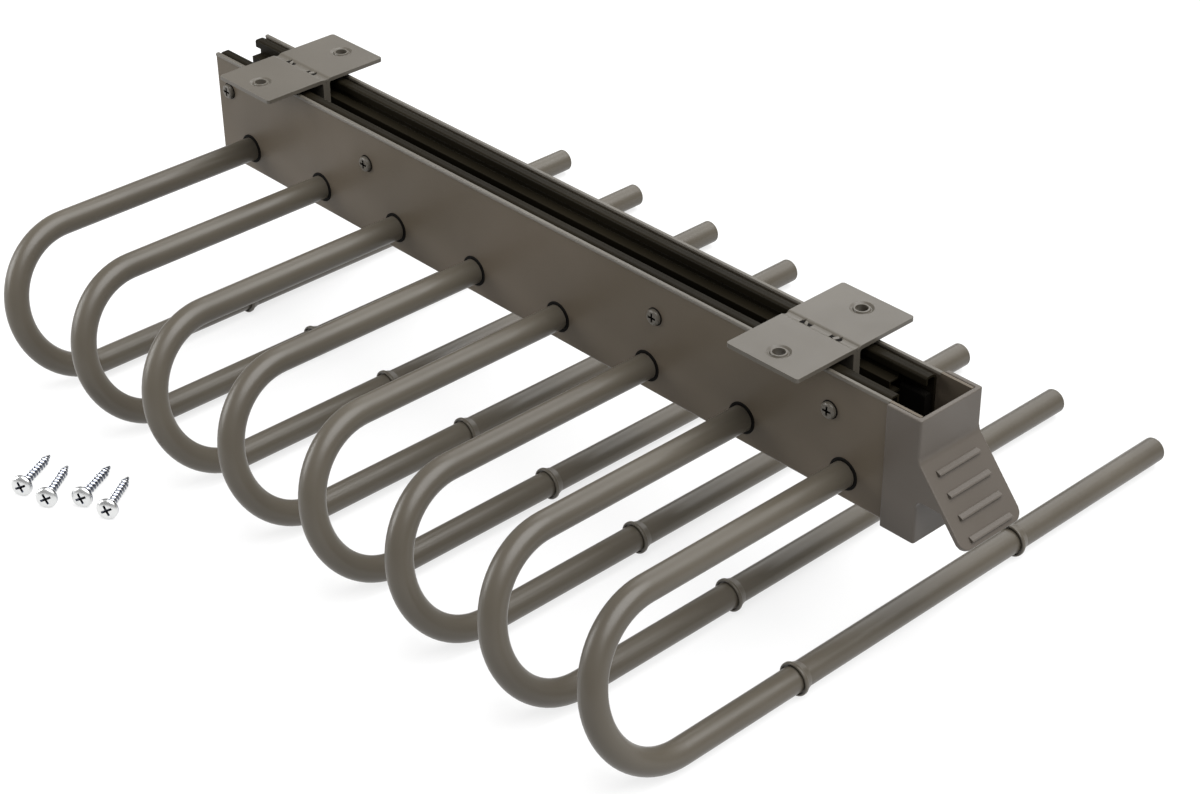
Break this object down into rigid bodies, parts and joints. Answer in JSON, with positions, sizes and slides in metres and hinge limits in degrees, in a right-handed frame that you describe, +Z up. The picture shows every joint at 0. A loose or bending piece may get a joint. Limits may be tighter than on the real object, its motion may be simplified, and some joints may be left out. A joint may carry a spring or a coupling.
{
  "type": "pull out trouser rack",
  "caption": "Pull-out trouser rack for the underside of a wardrobe shelf: bent tube arms on a painted channel that rolls out on ball-bearing slides, with a grip flap.",
  "frame": {"origin": "middle of the four shelf screws, on top of the bracket flanges", "axes": "+Z up towards the shelf, -Y the way the rack pulls out, +X towards the open ends of the arms"},
  "size_m": [0.3997, 0.4962, 0.126],
  "materials": {
    "taupe_paint": "satin",
    "taupe_plastic": "satin",
    "black_steel": "satin",
    "zinc_steel": "satin",
    "black_nylon": "matte",
    "black_rubber": "matte"
  },
  "bodies": {
    "mounting": {"front_bracket_left": "taupe_paint", "front_bracket_right": "taupe_paint", "rear_bracket_left": "taupe_paint", "rear_bracket_right": "taupe_paint", "bracket_rivets": "zinc_steel", "left_inner_rail": "black_steel", "right_inner_rail": "black_steel", "mounting_screws": "zinc_steel"},
    "carriage": {"channel": "taupe_paint", "left_outer_rail": "black_steel", "right_outer_rail": "black_steel", "left_rail_screws": "taupe_paint", "right_rail_screws": "taupe_paint", "rail_buffers": "black_rubber", "end_cap": "taupe_plastic", "end_cap_screws": "zinc_steel", "arm_1": "taupe_paint", "arm_2": "taupe_paint", "arm_3": "taupe_paint", "arm_4": "taupe_paint", "arm_5": "taupe_paint", "arm_6": "taupe_paint", "arm_7": "taupe_paint", "arm_8": "taupe_paint", "arm_bushes": "black_nylon", "arm_inserts": "zinc_steel", "arm_bolts": "zinc_steel", "tip_plugs": "taupe_paint", "stop_rings": "taupe_paint"},
    "left_middle": {"left_middle_rail": "black_steel"},
    "right_middle": {"right_middle_rail": "black_steel"},
    "left_outer_race": {"left_outer_cage": "zinc_steel", "left_outer_balls": "zinc_steel"},
    "left_inner_race": {"left_inner_cage": "zinc_steel", "left_inner_balls": "zinc_steel"},
    "right_outer_race": {"right_outer_cage": "zinc_steel", "right_outer_balls": "zinc_steel"},
    "right_inner_race": {"right_inner_cage": "zinc_steel", "right_inner_balls": "zinc_steel"}
  },
  "joints": [
    {"name": "carriage_slide", "type": "slide", "parent": "mounting", "child": "carriage", "axis": [0, -1, 0], "range_m": [0, 0.44]},
    {"name": "left_middle_slide", "type": "slide", "parent": "mounting", "child": "left_middle", "axis": [0, -1, 0], "range_m": [0, 0.22]},
    {"name": "left_outer_race_slide", "type": "slide", "parent": "mounting", "child": "left_outer_race", "axis": [0, -1, 0], "range_m": [0, 0.33]},
    {"name": "left_inner_race_slide", "type": "slide", "parent": "mounting", "child": "left_inner_race", "axis": [0, -1, 0], "range_m": [0, 0.11]},
    {"name": "right_middle_slide", "type": "slide", "parent": "mounting", "child": "right_middle", "axis": [0, -1, 0], "range_m": [0, 0.22]},
    {"name": "right_outer_race_slide", "type": "slide", "parent": "mounting", "child": "right_outer_race", "axis": [0, -1, 0], "range_m": [0, 0.33]},
    {"name": "right_inner_race_slide", "type": "slide", "parent": "mounting", "child": "right_inner_race", "axis": [0, -1, 0], "range_m": [0, 0.11]}
  ],
  "couplings": [
    {"joint": "left_middle_slide", "follows": "carriage_slide", "ratio": 0.5},
    {"joint": "left_outer_race_slide", "follows": "carriage_slide", "ratio": 0.75},
    {"joint": "left_inner_race_slide", "follows": "carriage_slide", "ratio": 0.25},
    {"joint": "right_middle_slide", "follows": "carriage_slide", "ratio": 0.5},
    {"joint": "right_outer_race_slide", "follows": "carriage_slide", "ratio": 0.75},
    {"joint": "right_inner_race_slide", "follows": "carriage_slide", "ratio": 0.25}
  ]
}
